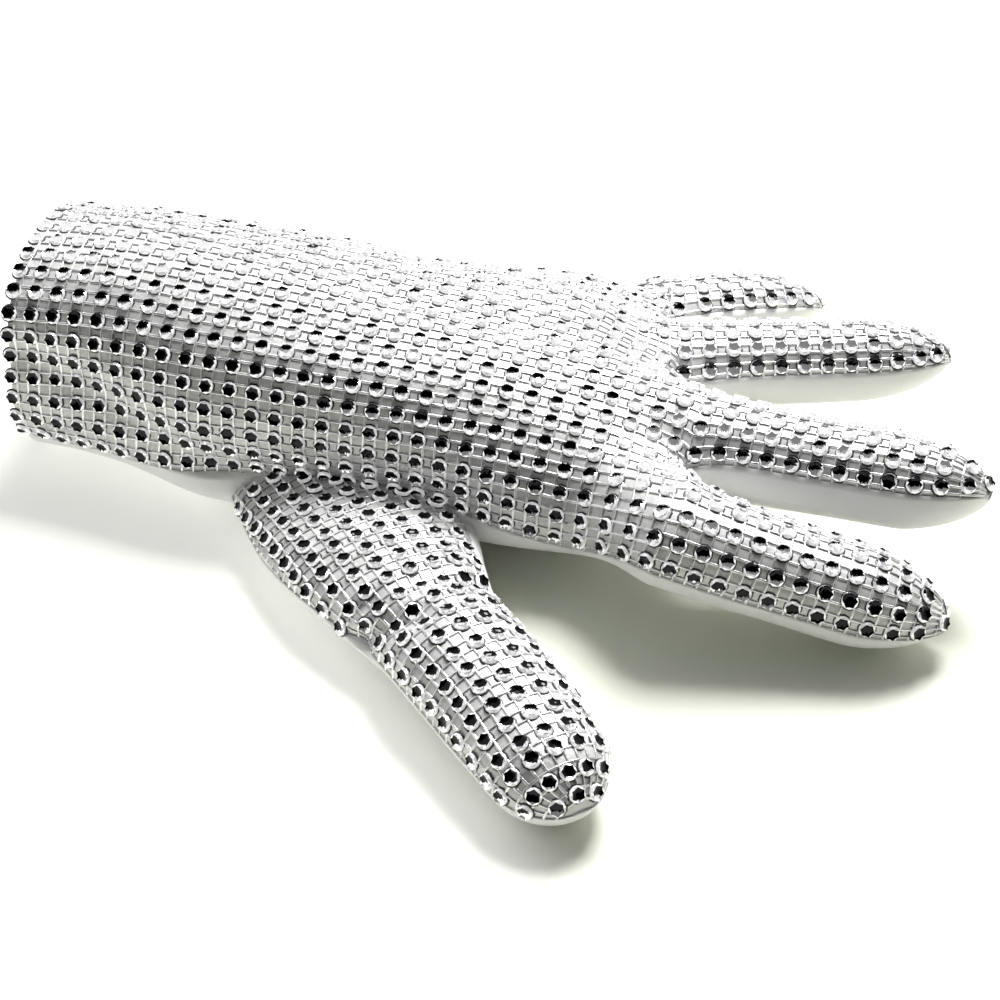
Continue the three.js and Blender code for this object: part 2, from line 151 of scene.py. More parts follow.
def curve(xs, ys):
    """Piecewise cubic through the points without overshoot."""
    xs = np.asarray(xs, float)
    ys = np.asarray(ys, float)
    step = np.diff(xs)
    slope = np.diff(ys) / step
    tangent = np.zeros_like(ys)
    for k in range(1, len(xs) - 1):
        if slope[k - 1] * slope[k] > 0:
            a = 2 * step[k] + step[k - 1]
            b = step[k] + 2 * step[k - 1]
            tangent[k] = (a + b) / (a / slope[k - 1] + b / slope[k])
    tangent[0] = slope[0]
    tangent[-1] = slope[-1]

    def at(x):
        x = np.asarray(x, float)
        c = np.clip(x, xs[0], xs[-1])
        k = np.clip(np.searchsorted(xs, c, side="right") - 1, 0, len(xs) - 2)
        h = step[k]
        u = (c - xs[k]) / h
        v = 1 - u
        y = v * v * (1 + 2 * u) * ys[k] + u * u * (1 + 2 * v) * ys[k + 1]
        y = y + h * u * v * (v * tangent[k] - u * tangent[k + 1])
        return y + tangent[0] * np.minimum(x - xs[0], 0) + tangent[-1] * np.maximum(x - xs[-1], 0)

    return at


def smooth(x, a, b):
    """Smooth step from 0 at a to 1 at b."""
    t = np.clip((x - a) / (b - a), 0, 1)
    return t * t * (3 - 2 * t)


def power(value, exponent):
    """A power that keeps the sign."""
    return np.sign(value) * np.abs(value) ** exponent


hand = [curve(HAND[:, 0], HAND[:, k]) for k in range(HAND.shape[1])]
SECTION_X = np.arange(-4, 151, 1.0)
SECTION_T = np.linspace(0, 1, 185)


def section_table(upper):
    """Sections of one half of the hand, evenly spaced by length from near hem to far hem."""
    table = np.zeros((len(SECTION_X), len(SECTION_T), 2))
    for i, x in enumerate(SECTION_X):
        near, far, base, waist, crown, hem = [hand[k](x) for k in range(1, 7)]
        height = base + hem
        if height <= waist:
            dip = math.asin(min(1, (waist - height) / (waist - base)) ** (PALM_POWER / 2))
        else:
            dip = -math.asin(min(1, (height - waist) / (crown - waist)) ** (CROWN_POWER / 2))
        angle = np.linspace(math.pi + dip, -dip if upper else 2 * math.pi - dip, 361)
        c = np.cos(angle)
        s = np.sin(angle)
        exponent = 2 / np.where(s >= 0, CROWN_POWER, PALM_POWER)
        y = (near + far) / 2 + (far - near) / 2 * power(c, exponent)
        z = waist + np.where(s >= 0, crown - waist, waist - base) * power(s, exponent)
        length = np.r_[0, np.cumsum(np.hypot(np.diff(y), np.diff(z)))]
        table[i, :, 0] = np.interp(SECTION_T * length[-1], length, y)
        table[i, :, 1] = np.interp(SECTION_T * length[-1], length, z)
    return table


SECTIONS = {True: section_table(True), False: section_table(False)}


def hand_point(x, t, upper):
    """Point of the hand at x, the share t of the way from the near hem to the far hem."""
    x, t = np.broadcast_arrays(x, t)
    table = SECTIONS[upper]
    i = np.clip(x, SECTION_X[0], SECTION_X[-1] - 1e-6) - SECTION_X[0]
    j = np.clip(t, 0, 1 - 1e-9) * (len(SECTION_T) - 1)
    i0 = i.astype(int)
    j0 = j.astype(int)
    a = (i - i0)[..., None]
    b = (j - j0)[..., None]
    near = table[i0, j0] * (1 - b) + table[i0, j0 + 1] * b
    far = table[i0 + 1, j0] * (1 - b) + table[i0 + 1, j0 + 1] * b
    yz = near * (1 - a) + far * a
    return np.concatenate([(x + hand[7](np.minimum(x, SECTION_X[-1])) * t)[..., None], yz], -1)


fingers = [dict(zip(FINGER_COLUMNS, row)) for row in FINGER_ROWS.values()]


def cap_shape(d, length, tip):
    """Width, height and flatness of a digit's section at d, which close it at its tip."""
    e = np.clip((d - (length - tip[0])) / tip[0], 0, 1) ** tip[1]
    return np.sqrt(1 - (1 - TIP_SEAM ** 2) * e), np.sqrt(1 - e), e ** 3


def ring_point(centre, side, up, width, height, start, end, tau, upper, cap):
    """Point of a digit's oval section, the share tau of the way from its left to its right hem."""
    angle = start + (end - start + (0 if upper else 2 * math.pi)) * tau
    seam = np.cos(start) + (np.cos(end) - np.cos(start)) * tau
    wide, high, flat = cap
    across = np.cos(angle) + (seam - np.cos(angle)) * flat
    return (centre + (width * wide * across)[..., None] * side
            + (height * high * np.sin(angle))[..., None] * up)


def finger_point(f, d, tau, upper):
    """Point of a finger at the length d from its root, along a gently bent centre line."""
    d, tau = np.broadcast_arrays(d, tau)
    yaw = math.radians(f["yaw"])
    rise = math.radians(f["rise"])
    bend = (math.radians(f["tip_rise"]) - rise) / f["length"]
    pitch = np.where(d > 0, rise + bend * d, rise)
    run = np.where(d > 0, (np.sin(pitch) - math.sin(rise)) / bend, d * math.cos(rise))
    climb = np.where(d > 0, -(np.cos(pitch) - math.cos(rise)) / bend, d * math.sin(rise))
    cy, sy = math.cos(yaw), math.sin(yaw)
    centre = np.stack([f["x"] + run * cy, f["y"] + run * sy, f["z"] + climb], -1)
    side = np.array([-sy, cy, 0.0])
    up = np.stack([-np.sin(pitch) * cy, -np.sin(pitch) * sy, np.cos(pitch)], -1)
    taper = 1 - FINGER_TAPER * np.clip(d / f["length"], 0, 1)
    start = math.radians(90 + f["span"] / 2 + f["roll"])
    end = math.radians(90 - f["span"] / 2 + f["roll"])
    return ring_point(centre, side, up, f["width"] * taper, f["height"] * taper, start, end,
                      tau, upper, cap_shape(d, f["length"], FINGER_TIP))


def strip_point(k, s, tau, upper):
    """Point of one finger's strip of the glove, which turns from hand into finger at the webs."""
    f = fingers[k]
    last = len(fingers) - 1
    left = WEB_X[k - 1] if k > 0 else WEB_X[0]
    right = WEB_X[k] if k < last else WEB_X[-1]
    web = left + (right - left) * tau
    on_finger = finger_point(f, np.minimum(s - f["x"], f["length"]), tau, upper)
    on_hand = hand_point(s, (f["first"] + (f["last"] - f["first"]) * tau) / NET_ROWS, upper)
    soft = smooth(s, web - WEB_BLEND, web)
    q = np.clip(1 - (web - s) / WEB_BLEND, 0, 1)
    near = (1 - tau) ** 3 if k > 0 else 0 * tau
    far = tau ** 3 if k < last else 0 * tau
    w = soft + (1 - np.sqrt(1 - q * q) - soft) * np.maximum(near, far)
    return on_hand + (on_finger - on_hand) * w[..., None]


def glove_point(k, s, tau, upper):
    """Point of a strip whose edges meet the neighbouring strips' edges up to the web."""
    s, tau = np.broadcast_arrays(s, tau)
    point = strip_point(k, s, tau, upper)
    for edge, other in ((1, k + 1), (0, k - 1)):
        if 0 <= other < len(fingers):
            line = s[:, :1]
            mine = strip_point(k, line, np.full_like(line, float(edge)), upper)
            theirs = strip_point(other, line, np.full_like(line, 1.0 - edge), upper)
            web = WEB_X[min(k, other)]
            weight = (tau if edge else 1 - tau) ** 3
            weight = weight * np.exp(-np.maximum(0, s - web) / EDGE_FADE)
            point = point + (theirs - mine) * weight[..., None] / 2
    return point


THUMB_MARKS = np.r_[0, np.cumsum(np.linalg.norm(np.diff(THUMB[:, :3], axis=0), axis=1))]
THUMB_LENGTH = THUMB_MARKS[-1]
thumb = [curve(THUMB_MARKS, THUMB[:, k]) for k in range(THUMB.shape[1])]


def thumb_frame(s):
    """Centre, sideways and upward direction of the thumb at the length s."""
    ahead = np.minimum(s + 0.5, THUMB_LENGTH)
    along = np.stack([thumb[k](ahead) - thumb[k](ahead - 1) for k in range(3)], -1)
    along = along / np.linalg.norm(along, axis=-1, keepdims=True)
    side = np.stack([-along[..., 1], along[..., 0], 0 * along[..., 0]], -1)
    side = side / np.linalg.norm(side, axis=-1, keepdims=True)
    return np.stack([thumb[k](s) for k in range(3)], -1), side, np.cross(along, side)


def thumb_point(s, tau, upper):
    """Point of the thumb at the length s, the share tau from its left to its right hem."""
    s, tau = np.broadcast_arrays(s, tau)
    centre, side, up = thumb_frame(s)
    start = np.radians(thumb[5](s))
    end = np.radians(thumb[6](s))
    return ring_point(centre, side, up, thumb[3](s), thumb[4](s), start, end, tau, upper,
                      cap_shape(s, THUMB_LENGTH, THUMB_TIP))


def fold_depth(folds, s, row):
    """Depth of all the folds at the length s and the net row."""
    depth = np.zeros(np.broadcast(s, row).shape)
    for s0, t0, s1, t1, width, amount in folds:
        ax, ay = s1 - s0, (t1 - t0) * GRID
        bx, by = s - s0, (row - t0) * GRID
        u = np.clip((ax * bx + ay * by) / (ax * ax + ay * ay), 0, 1)
        away = np.hypot(bx - ax * u, by - ay * u) / width
        depth = depth + amount * np.exp(-away * away)
    return depth


def waves(s, t, seed, size, count=5):
    """A gentle sum of sine waves over the pattern, between about -1 and 1."""
    source = np.random.default_rng(seed)
    total = 0
    for _ in range(count):
        angle = source.uniform(0, 2 * math.pi)
        length = size * source.uniform(0.6, 1.6)
        phase = source.uniform(0, 2 * math.pi)
        total = total + np.sin((s * math.cos(angle) + t * math.sin(angle)) * 2 * math.pi / length
                               + phase)
    return total / count


class Skin:
    """A skin of named grids. Closing it joins coinciding points and sinks the folds in."""

    def __init__(self):
        self.grids = {}
        self.parts = []
        self.sinks = []
        self.count = 0

    def add(self, name, s, t, points, sink):
        shape = points.shape[:2]
        index = np.arange(self.count, self.count + shape[0] * shape[1]).reshape(shape)
        self.count += index.size
        self.parts.append(points.reshape(-1, 3))
        self.sinks.append(np.broadcast_to(sink, shape).reshape(-1))
        self.grids[name] = {"s": s, "t": t, "index": index}

    def close(self):
        points = np.concatenate(self.parts)
        sink = np.concatenate(self.sinks)
        keys = np.round(points * PLACES_PER_MM).astype(np.int64)
        _, first, inverse = np.unique(keys, axis=0, return_index=True, return_inverse=True)
        inverse = inverse.reshape(-1)
        self.points = points[first]
        for grid in self.grids.values():
            grid["index"] = inverse[grid["index"]]
        faces = []
        for name, grid in self.grids.items():
            grid["faces"] = grid_faces(grid["index"], name.endswith("palm"))
            faces.append(grid["faces"])
        self.all_faces = np.concatenate(faces)
        self.normals = point_normals(self.points, self.all_faces)
        self.points = self.points - self.normals * sink[first][:, None]
        self.normals = point_normals(self.points, self.all_faces)

    def sample(self, name, s, tau):
        """Point, normal and direction along the glove at places on one grid."""
        grid = self.grids[name]
        i = np.clip(np.searchsorted(grid["s"], s) - 1, 0, len(grid["s"]) - 2)
        a = ((s - grid["s"][i]) / (grid["s"][i + 1] - grid["s"][i]))[:, None]
        j = np.clip(np.searchsorted(grid["t"], tau) - 1, 0, len(grid["t"]) - 2)
        b = ((tau - grid["t"][j]) / (grid["t"][j + 1] - grid["t"][j]))[:, None]
        index = grid["index"]
        p00, p01, p10, p11 = index[i, j], index[i, j + 1], index[i + 1, j], index[i + 1, j + 1]

        def mix(values):
            return ((values[p00] * (1 - b) + values[p01] * b) * (1 - a)
                    + (values[p10] * (1 - b) + values[p11] * b) * a)

        normal = unit(mix(self.normals))
        along = (self.points[p10] - self.points[p00]) * (1 - b)
        along = unit(along + (self.points[p11] - self.points[p01]) * b)
        return mix(self.points), normal, along


def unit(v):
    """Vectors at length 1."""
    return v / np.maximum(np.linalg.norm(v, axis=-1, keepdims=True), 1e-12)


def grid_faces(index, flip):
    """Four-sided faces of a grid of points, without those that shared points close up."""
    a = index[:-1, :-1].ravel()
    b = index[1:, :-1].ravel()
    c = index[1:, 1:].ravel()
    d = index[:-1, 1:].ravel()
    quads = np.stack([a, d, c, b] if flip else [a, b, c, d], -1)
    keep = (a != b) & (b != c) & (c != d) & (d != a)
    return quads[keep]


def point_normals(points, quads):
    """Normals of points, from the faces that share them."""
    p = points[quads]
    n = np.cross(p[:, 2] - p[:, 0], p[:, 3] - p[:, 1])
    total = np.zeros_like(points)
    for k in range(4):
        np.add.at(total, quads[:, k], n)
    return unit(total)


def boundary(quads):
    """Edges that only one face has."""
    edges = {}
    for quad in quads.tolist():
        for k in range(4):
            a, b = quad[k], quad[(k + 1) % 4]
            if (b, a) in edges:
                del edges[(b, a)]
            else:
                edges[(a, b)] = True
    return list(edges)


def shell(skin, quads, outer, inner):
    """Outer and inner layers of some faces with a wall round their edge."""
    used, local = np.unique(quads, return_inverse=True)
    local = local.reshape(quads.shape)
    points = skin.points[used]
    normals = skin.normals[used]
    top = points + normals * outer
    low = points + normals * inner
    top[:, 2] = np.maximum(top[:, 2], LEAST_HEIGHT)
    low[:, 2] = np.maximum(low[:, 2], outer - inner)
    n = len(used)
    faces = [local, local[:, ::-1] + n]
    edge = np.array(boundary(local))
    if len(edge):
        faces.append(np.stack([edge[:, 1], edge[:, 0], edge[:, 0] + n, edge[:, 1] + n], -1))
    return np.concatenate([top, low]), np.concatenate(faces)


def make(name, points, faces, material, smooth_faces=True):
    """An object from points in millimetres and faces that all have as many corners."""
    mesh = bpy.data.meshes.new(name)
    points = (np.asarray(points, float) - CENTRE) / 1000
    size = faces.shape[1]
    mesh.vertices.add(len(points))
    mesh.vertices.foreach_set("co", points.astype(np.float32).ravel())
    mesh.loops.add(faces.size)
    mesh.loops.foreach_set("vertex_index", faces.astype(np.int32).ravel())
    mesh.polygons.add(len(faces))
    mesh.polygons.foreach_set("loop_start", np.arange(0, faces.size, size, dtype=np.int32))
    mesh.polygons.foreach_set("loop_total", np.full(len(faces), size, dtype=np.int32))
    mesh.update(calc_edges=True)
    mesh.validate()
    mesh.polygons.foreach_set("use_smooth", np.full(len(mesh.polygons), smooth_faces))
    obj = bpy.data.objects.new(name, mesh)
    bpy.context.scene.collection.objects.link(obj)
    mesh.materials.append(material)
    return obj


# Materials
class Nodes:
    """A new material and short ways to fill its node tree."""

    def __init__(self, name):
        self.material = bpy.data.materials.new(name)
        self.material.use_nodes = True
        self.tree = self.material.node_tree
        self.shader = self.tree.nodes["Principled BSDF"]

    def add(self, kind, **values):
        node = self.tree.nodes.new(kind)
        for key, value in values.items():
            if key.startswith("in_"):
                node.inputs[key[3:].replace("_", " ")].default_value = value
            else:
                setattr(node, key, value)
        return node

    def link(self, a, out, b, into):
        self.tree.links.new(a.outputs[out], b.inputs[into])

    def set(self, **values):
        for key, value in values.items():
            self.shader.inputs[key.replace("_", " ")].default_value = value


def satin_material(name, colour, roughness):
    """Satin with a fine weave and soft wrinkles as bump."""
    m = Nodes(name)
    m.set(Base_Color=(*colour, 1), Roughness=roughness, Sheen_Weight=0.25, Sheen_Roughness=0.4)
    m.set(Specular_IOR_Level=0.45, Anisotropic=0.3)
    place = m.add("ShaderNodeTexCoord")
    broad = m.add("ShaderNodeTexNoise", in_Scale=90.0, in_Detail=3.0)
    weave = m.add("ShaderNodeTexWave", in_Scale=900.0, in_Distortion=0.6, in_Detail=1.0)
    soft = m.add("ShaderNodeBump", in_Strength=0.25, in_Distance=0.0008)
    fine = m.add("ShaderNodeBump", in_Strength=0.12, in_Distance=0.00008)
    m.link(place, "Object", broad, "Vector")
    m.link(place, "Object", weave, "Vector")
    m.link(broad, "Fac", soft, "Height")
    m.link(weave, "Fac", fine, "Height")
    m.link(soft, "Normal", fine, "Normal")
    m.link(fine, "Normal", m.shader, "Normal")
    shade = m.add("ShaderNodeMapRange", in_To_Min=roughness - 0.06, in_To_Max=roughness + 0.1)
    m.link(broad, "Fac", shade, "Value")
    m.link(shade, "Result", m.shader, "Roughness")
    return m.material


def net_material(name, colour, metal, roughness, least=0.85):
    """Grainy metal yarn whose colour falls to the share least of itself in patches."""
    m = Nodes(name)
    m.set(Base_Color=(*colour, 1), Metallic=metal, Roughness=roughness)
    place = m.add("ShaderNodeTexCoord")
    grain = m.add("ShaderNodeTexNoise", in_Scale=1400.0, in_Detail=2.0)
    patch = m.add("ShaderNodeTexNoise", in_Scale=260.0, in_Detail=2.0)
    bump = m.add("ShaderNodeBump", in_Strength=0.5, in_Distance=0.00015)
    m.link(place, "Object", grain, "Vector")
    m.link(place, "Object", patch, "Vector")
    m.link(grain, "Fac", bump, "Height")
    m.link(bump, "Normal", m.shader, "Normal")
    shade = m.add("ShaderNodeMapRange", in_To_Min=roughness - 0.12, in_To_Max=roughness + 0.12)
    m.link(patch, "Fac", shade, "Value")
    m.link(shade, "Result", m.shader, "Roughness")
    tone = m.add("ShaderNodeMapRange", in_From_Min=0.38, in_From_Max=0.55, in_To_Min=least)
    tint = m.add("ShaderNodeVectorMath", operation="SCALE")
    tint.inputs[0].default_value = colour
    m.link(patch, "Fac", tone, "Value")
    m.link(tone, "Result", tint, "Scale")
    m.link(tint, "Vector", m.shader, "Base Color")
    return m.material


def stone_material(name, colour, metal, coat, painted_glow):
    """Polished facets with a little painted glow, a painted highlight which stands for light from
    the foil behind them.
    """
    m = Nodes(name)
    m.set(Base_Color=(*colour, 1), Metallic=metal, Roughness=0.05)
    m.set(Emission_Color=(1, 1, 1, 1), Emission_Strength=painted_glow)
    m.set(Coat_Weight=coat, Coat_Roughness=0.02)
    place = m.add("ShaderNodeTexCoord")
    cells = m.add("ShaderNodeTexNoise", in_Scale=420.0, in_Detail=1.0)
    ramp = m.add("ShaderNodeMapRange", in_To_Min=0.03, in_To_Max=0.09)
    m.link(place, "Object", cells, "Vector")
    m.link(cells, "Fac", ramp, "Value")
    m.link(ramp, "Result", m.shader, "Roughness")
    return m.material


SATIN = satin_material("white satin", (0.9, 0.9, 0.89), 0.42)
LINING = satin_material("white lining", (0.85, 0.85, 0.84), 0.6)
NET = net_material("silver net ground", (0.7, 0.7, 0.68), 0.25, 0.45, 0.92)
THREAD = net_material("silver thread", (0.95, 0.95, 0.95), 0.7, 0.3, 0.6)
# Near-black cup colour: painted shade, the shadowed gap round each stone
CUP_SHADE = net_material("stone cup in painted shade", (0.05, 0.05, 0.055), 0.3, 0.45)
# Both stone materials glow: painted highlight, which keeps facets and crowns bright where they
# mirror dark
STONE = stone_material("foiled stone", (0.93, 0.94, 0.95), 0.9, 0.6, 0.15)
CROWN = stone_material("crown of a stone with painted glow", (0.93, 0.94, 0.95), 0.4, 0.6, 0.3)
# Near-black facets: painted reflection of the dark near side in each stone
PAINTED_DARK_STAR = stone_material("painted dark reflection in a stone", (0.02, 0.02, 0.021), 1.0, 0.0, 0.0)


# The skins of the hand and the thumb
def stations(end):
    """Places along a strip: the cuff, even steps, the webs and closer steps round the tip."""
    shaft = end - FINGER_TIP[0]
    marks = np.arange(FIRST_STONE, shaft - STEP / 3, STEP)
    cap = shaft + FINGER_TIP[0] * np.sin(np.linspace(0, math.pi / 2, FINGER_CAP_STEPS))
    marks = np.concatenate([[0.0], marks, WEB_X, cap])
    return np.unique(np.round(marks[marks <= end + 1e-6], 6))


glove = Skin()
for k, f in enumerate(fingers):
    s = stations(f["x"] + f["length"])
    rows = f["last"] - f["first"]
    tau = np.linspace(0, 1, rows * 4 + 1)
    for panel, upper, folds in (("back", True, BACK_FOLDS), ("palm", False, PALM_FOLDS)):
        row = f["first"] + rows * tau[None, :]
        sink = fold_depth(folds, s[:, None], row)
        sink = sink + HAND_WAVES[0] * waves(s[:, None], row * GRID, 3 + upper, HAND_WAVES[1])
        glove.add(f"{k} {panel}", s, tau, glove_point(k, s[:, None], tau[None, :], upper), sink)
glove.close()

digit = Skin()
THUMB_SHAFT = THUMB_LENGTH - THUMB_TIP[0]
thumb_cap = THUMB_SHAFT + THUMB_TIP[0] * np.sin(np.linspace(0, math.pi / 2, THUMB_CAP_STEPS))
thumb_s = np.concatenate([np.arange(0, THUMB_SHAFT, 1.0), thumb_cap])
thumb_t = np.linspace(0, 1, 37)
for panel, upper in (("back", True), ("palm", False)):
    s, tau = thumb_s[:, None], thumb_t[None, :]
    sink = THUMB_WAVES[0] * waves(s, tau * THUMB_ACROSS, 11 + upper, THUMB_WAVES[1])
    if upper:
        sink = sink + fold_depth(THUMB_FOLDS, s, tau * THUMB_ROWS)
    digit.add(panel, thumb_s, thumb_t, thumb_point(s, tau, upper), sink)
digit.close()


def inside_thumb(points):
    """Which points are in the thumb's hollow, where the palm is open."""
    s = np.linspace(0, THUMB_LENGTH, 120)
    centre, side, up = thumb_frame(s)
    near = np.argmin(((points[:, None] - centre[None]) ** 2).sum(-1), axis=1)
    d = points - centre[near]
    along = np.cross(side[near], up[near])
    u = (d * side[near]).sum(1) / (thumb[3](s[near]) * THUMB_HOLE)
    v = (d * up[near]).sum(1) / (thumb[4](s[near]) * THUMB_HOLE)
    beside = np.abs((d * along).sum(1)) < 2 * STEP
    return (u * u + v * v < 1) & beside


GLOVE_TREE = BVHTree.FromPolygons(glove.points.tolist(), glove.all_faces.tolist())


def hand_depth(points):
    """How deep points lie under the glove's folded surface; less than zero is outside."""
    depth = np.empty(len(points))
    for k, p in enumerate(points):
        spot, normal, _, _ = GLOVE_TREE.find_nearest(Vector(p))
        depth[k] = -(Vector(p) - spot).dot(normal)
    return depth


def sunk_in_hand(points):
    return hand_depth(points) > THUMB_SUNK


def clear_of_hand(points):
    return hand_depth(points) < -0.3


def panel_faces(skin, ending):
    return np.concatenate([g["faces"] for n, g in skin.grids.items() if n.endswith(ending)])


def leave_out(skin, quads, test):
    """Faces whose centres the test doesn't hold for."""
    return quads[~test(skin.points[quads].mean(1))]


back_faces = panel_faces(glove, "back")
palm_faces = leave_out(glove, panel_faces(glove, "palm"), inside_thumb)
thumb_back_faces = leave_out(digit, panel_faces(digit, "back"), sunk_in_hand)
thumb_palm_faces = leave_out(digit, panel_faces(digit, "palm"), sunk_in_hand)

pieces = {}


def piece(name, node, data, material):
    """A piece that takes the place of a CAD node."""
    obj = make(name, *data, material)
    pieces[name] = obj
    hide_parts(node)


piece("palm_satin", "palm_panel", shell(glove, palm_faces, PALM_OUTER, PALM_INNER), SATIN)
piece("back_satin", "back_panel", shell(glove, back_faces, BACK_OUTER, BACK_INNER), LINING)
piece("back_net", "sequin_mesh_back", shell(glove, back_faces, NET_OUTER, NET_INNER), NET)
piece("thumb_palm_satin", "thumb_palm",
      shell(digit, thumb_palm_faces, PALM_OUTER, PALM_INNER), SATIN)
piece("thumb_back_satin", "thumb_back",
      shell(digit, thumb_back_faces, BACK_OUTER, BACK_INNER), LINING)
piece("thumb_net", "sequin_mesh_thumb",
      shell(digit, thumb_back_faces, NET_OUTER, NET_INNER), NET)


# Threads of the net
THREAD_HALF = 0.3
THREAD_HIGH = 0.24
THREAD_FOOT = 0.1
THREAD_LIFT = 0.02


def ribbons(lines):
    """Raised threads with a flat top, along lines of (points, normals)."""
    points = []
    faces = []
    count = 0
    for p, n in lines:
        along = unit(np.gradient(p, axis=0))
        across = unit(np.cross(n, along)) * THREAD_HALF
        foot = p - n * THREAD_FOOT
        top = p + n * THREAD_HIGH
        ring = np.stack([foot - across, top - across * 0.6, top + across * 0.6, foot + across], 1)
        points.append(ring.reshape(-1, 3))
        base = count + 4 * np.arange(len(p) - 1)[:, None]
        for k in range(3):
            faces.append(np.concatenate([base + k, base + k + 1, base + k + 5, base + k + 4], 1))
        count += 4 * len(p)
    return np.concatenate(points), np.concatenate(faces)


def net_lines(skin, name, s_lines, t_lines, s_range, keep=None):
    """Lines of points and normals along a grid (t_lines) and across it (s_lines)."""
    lines = []
    grid = skin.grids[name]
    runs = [(np.full_like(grid["s"], t), grid["s"]) for t in t_lines]
    runs += [(grid["t"], np.full_like(grid["t"], s)) for s in s_lines]
    for t, s in runs:
        inside = (s >= s_range[0]) & (s <= s_range[1])
        if inside.sum() < 2:
            continue
        p, n, _ = skin.sample(name, s[inside], t[inside])
        p = p + n * (NET_OUTER + THREAD_LIFT)
        if keep is not None:
            good = keep(p)
            p, n = p[good], n[good]
            if len(p) < 2:
                continue
        lines.append((p, n))
    return lines


# Distances from a digit's end: its last stone, its last cross thread and the one before that
LAST_STONE = 0.6
LAST_THREAD = 1.8
EARLIER_THREADS = 3.5

lines = []
for k, f in enumerate(fingers):
    rows = f["last"] - f["first"]
    end = f["x"] + f["length"]
    s_lines = np.arange(FIRST_STONE + CELL / 2, end - EARLIER_THREADS, CELL)
    s_lines = np.append(s_lines, end - LAST_THREAD)
    t_lines = (np.arange(0, rows * 2) + 0.5) / (rows * 2)
    lines += net_lines(glove, f"{k} back", s_lines, t_lines, (0, end - LAST_STONE))
pieces["back_threads"] = make("back_threads", *ribbons(lines), THREAD)


# Stones
# Kinds of facet: the first four are places in a stone's list of materials. A wall facet gets the
# crown's material in the end, and is never made dark.
# The dark kind is painted reflection: near-black facets for the dark near side that each stone
# mirrors.
BRIGHT, PAINTED_DARK, CUP_SHADE_FACET, CROWN_FACET, WALL_FACET = range(5)
STONE_SIDES = 12


def stone_shape():
    """A foiled stone of radius 1: a small table in a dish with a six-pointed edge, steep facets
    from that edge to the girdle, and a cup round it whose near-black colour is painted shade."""
    # Radius at even and at odd corners, then height at even and at odd corners
    rings = (
        (0.26, 0.26, 0.24, 0.24),
        (0.56, 0.5, 0.305, 0.295),
        (0.9, 0.72, 0.475, 0.405),
        (0.99, 0.99, 0.22, 0.22),
        (1.0, 1.0, 0.02, 0.02),
        (1.15, 1.15, -0.03, -0.03),
        (1.19, 1.19, -0.14, -0.14),
    )
    kinds = (PAINTED_DARK, PAINTED_DARK, CROWN_FACET, WALL_FACET, CUP_SHADE_FACET, CUP_SHADE_FACET)
    points = [(0, 0, rings[0][2])]
    for even, odd, high_even, high_odd in rings:
        for k in range(STONE_SIDES):
            a = 2 * math.pi * k / STONE_SIDES
            r, z = (even, high_even) if k % 2 == 0 else (odd, high_odd)
            points.append((r * math.cos(a), r * math.sin(a), z))
    faces = []
    facets = []
    for k in range(STONE_SIDES):
        n = (k + 1) % STONE_SIDES
        faces.append((0, 1 + k, 1 + n))
        facets.append(PAINTED_DARK)
        for ring, kind in enumerate(kinds):
            first = 1 + STONE_SIDES * ring
            a, b = first + k, first + n
            c, d = b + STONE_SIDES, a + STONE_SIDES
            if k % 2 == 0:
                faces += [(a, d, c), (a, c, b)]
            else:
                faces += [(a, d, b), (b, d, c)]
            facets += [kind, kind]
    return np.array(points, float), np.array(faces), np.array(facets)


STONE_POINTS, STONE_FACES, STONE_FACETS = stone_shape()
STONE_LIFT = 0.1
# Scatter of the stones' lean, turn and size
STONE_LEAN = 0.05
STONE_TURN = 0.25
STONE_SIZES = 0.02
# Radius by which a facet's place in the dish is measured
DISH_RADIUS = 0.75
# Height in the dish from which its facets are painted dark, as painted reflection, by the elevation
# of the table in degrees
DARK_ELEVATION = (-40.0, -10.0, 5.0, 25.0, 45.0, 60.0, 68.0, 75.0, 83.0)
DARK_FROM = (0.3, -0.2, -0.6, -0.5, -0.25, -0.05, 0.35, 0.75, 1.2)
# The painted dark reflection reaches further down, as a star, on stones whose elevation is less
# than this
STAR_BELOW = 42.0
# Crown facets above DARK_CROWN_FROM are painted dark too in this range of elevations
DARK_CROWN = (30.0, 76.0)
DARK_CROWN_FROM = 0.45
ELEVATION_SCATTER = 4.0
# The level direction away from the glove's near side, and the shares of it and of straight up in
# the direction in which the painted dark facets lie. AWAY's share changes sign on the far side,
# where stones lean away by FAR_LEAN, and crown facets are painted dark only below NEAR_LEAN.
AWAY = np.array([-0.264, 0.965, 0.0])
DARK_AWAY = 0.62
DARK_UP = 0.78
FAR_LEAN = (0.25, 0.6)
NEAR_LEAN = 0.1


def stone_frames(normals, along):
    """Directions of each stone, a little off the net's normal and turned at random."""
    z = unit(normals + rng.normal(0, STONE_LEAN, normals.shape))
    x = unit(along - z * (along * z).sum(1, keepdims=True))
    y = np.cross(z, x)
    turn = rng.uniform(-STONE_TURN, STONE_TURN, len(normals))
    c, s = np.cos(turn)[:, None], np.sin(turn)[:, None]
    return np.stack([x * c + y * s, y * c - x * s, z], 1)


